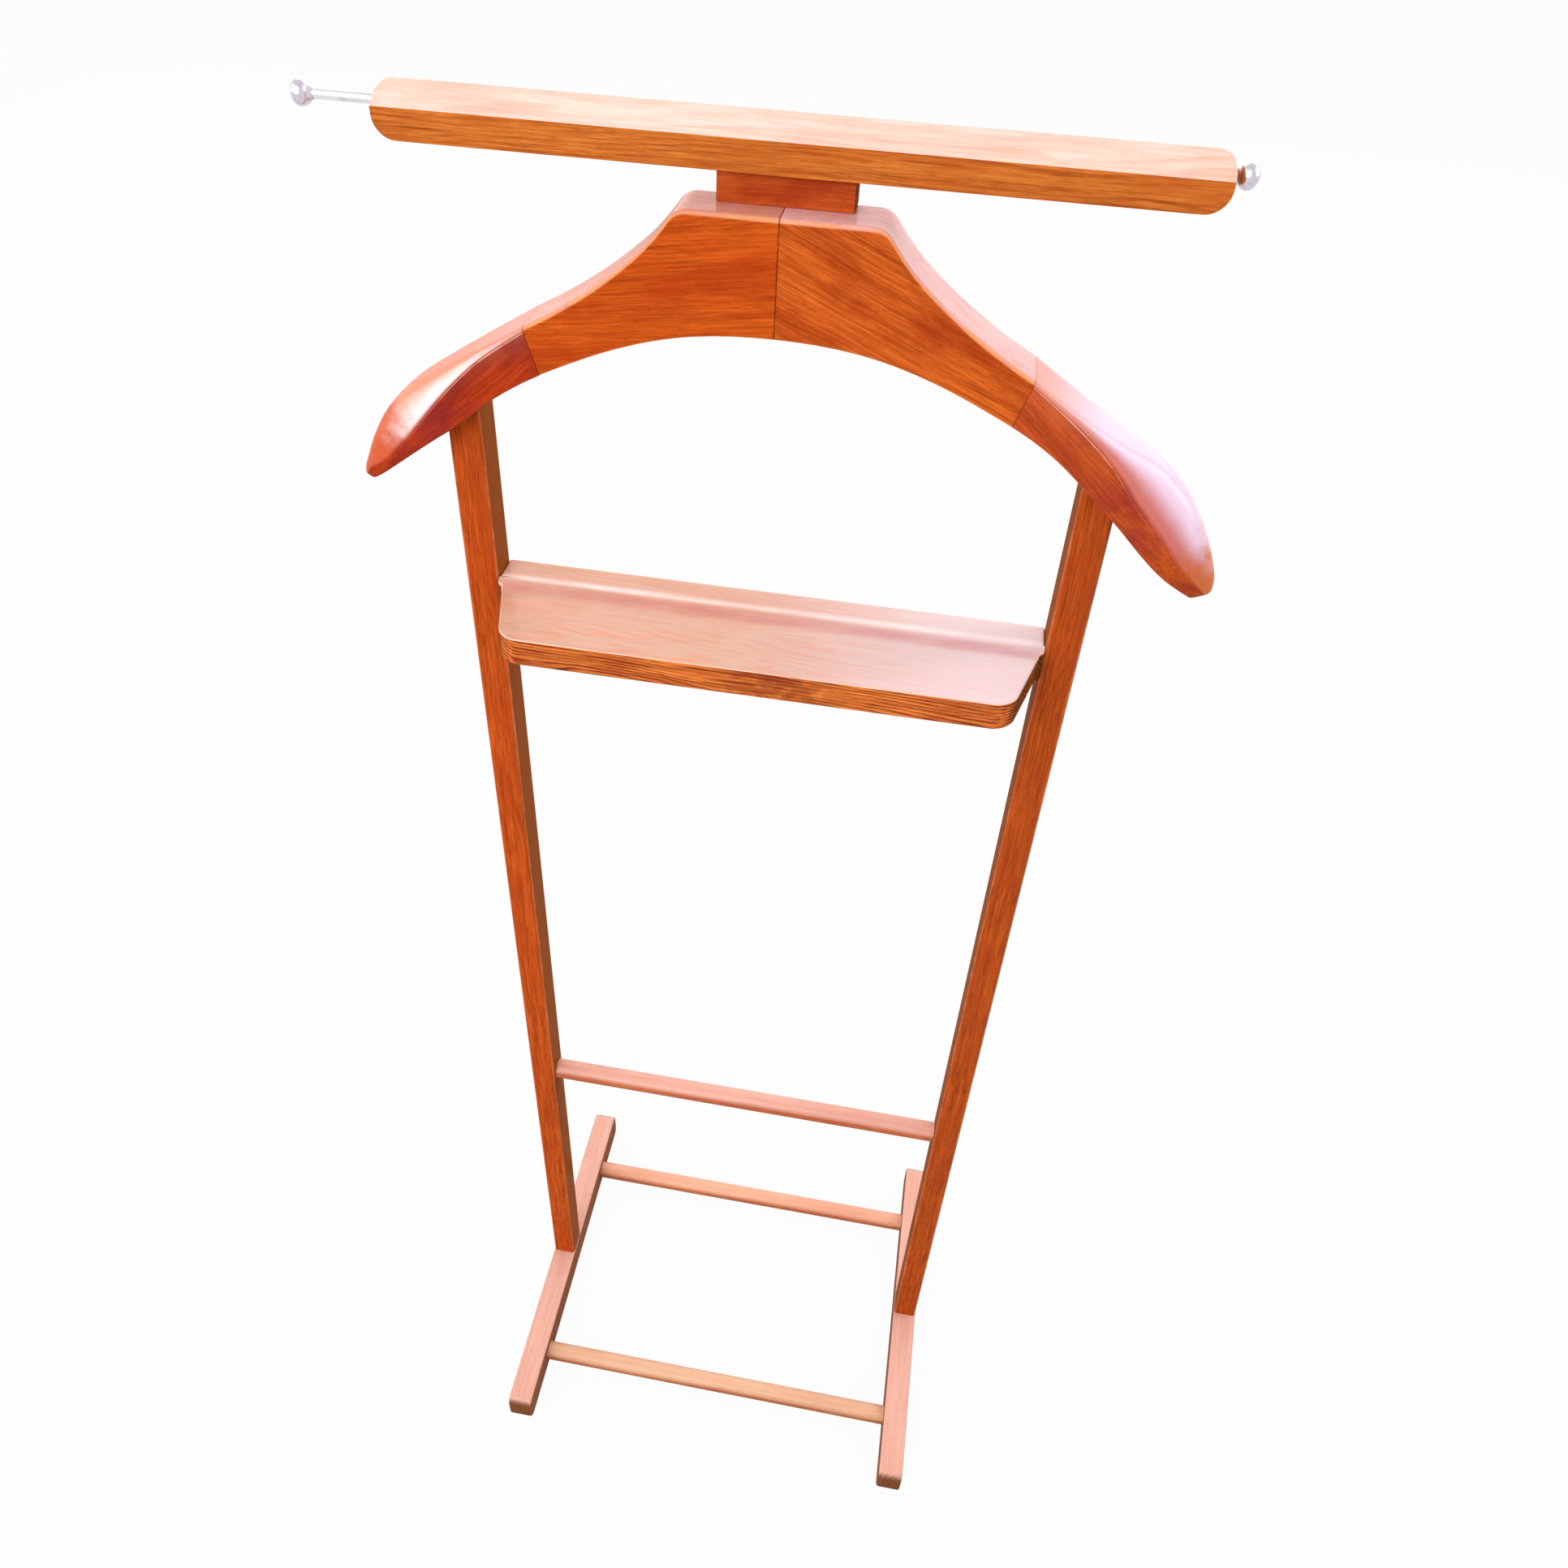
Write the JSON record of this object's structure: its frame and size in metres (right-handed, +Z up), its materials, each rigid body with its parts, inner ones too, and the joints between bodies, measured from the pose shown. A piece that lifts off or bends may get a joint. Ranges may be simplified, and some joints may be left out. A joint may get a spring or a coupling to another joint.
{
  "type": "valet stand",
  "caption": "Free-standing wooden valet stand: railed feet, slim uprights with a cross rail and small tray, a broad jacket hanger and a trouser bar with a sliding tie rod.",
  "frame": {"origin": "on the floor, under the middle of the footprint and of the hanger's span", "axes": "+X to the right of someone in front of the stand, +Y towards its back, +Z up"},
  "size_m": [0.48, 0.31, 1.101],
  "materials": {
    "stained_wood": "orange-brown stain under a satin lacquer",
    "hanger_wood": "red-brown stain under a glossy lacquer",
    "tray_wood": "orange-brown stain under a satin lacquer",
    "bar_wood": "lighter brown stain under a satin lacquer",
    "dowel_wood": "bare",
    "bright_steel": "bright plated, a little dulled",
    "screw_steel": "plated"
  },
  "bodies": {
    "stand": {"left_foot": "stained_wood", "right_foot": "stained_wood", "front_foot_rail": "stained_wood", "rear_foot_rail": "stained_wood", "left_upright": "stained_wood", "right_upright": "stained_wood", "cross_rail": "stained_wood", "tray": "tray_wood", "hanger_centre_left": "hanger_wood", "hanger_centre_right": "hanger_wood", "hanger_arm_left": "hanger_wood", "hanger_arm_right": "hanger_wood", "neck_block": "stained_wood", "trouser_bar": "bar_wood", "foot_screws": "screw_steel", "tray_screws": "screw_steel", "neck_screws": "screw_steel", "upright_dowels": "dowel_wood", "centre_joint_dowels": "dowel_wood", "arm_joint_dowels": "dowel_wood"},
    "sliding_rod": {"tie_rod": "bright_steel", "tie_rod_knob_right": "bright_steel", "tie_rod_knob_left": "bright_steel"}
  },
  "joints": [
    {"name": "tie_rod_slide", "type": "slide", "parent": "stand", "child": "sliding_rod", "axis": [1, 0, 0], "range_m": [0, 0.032]}
  ]
}
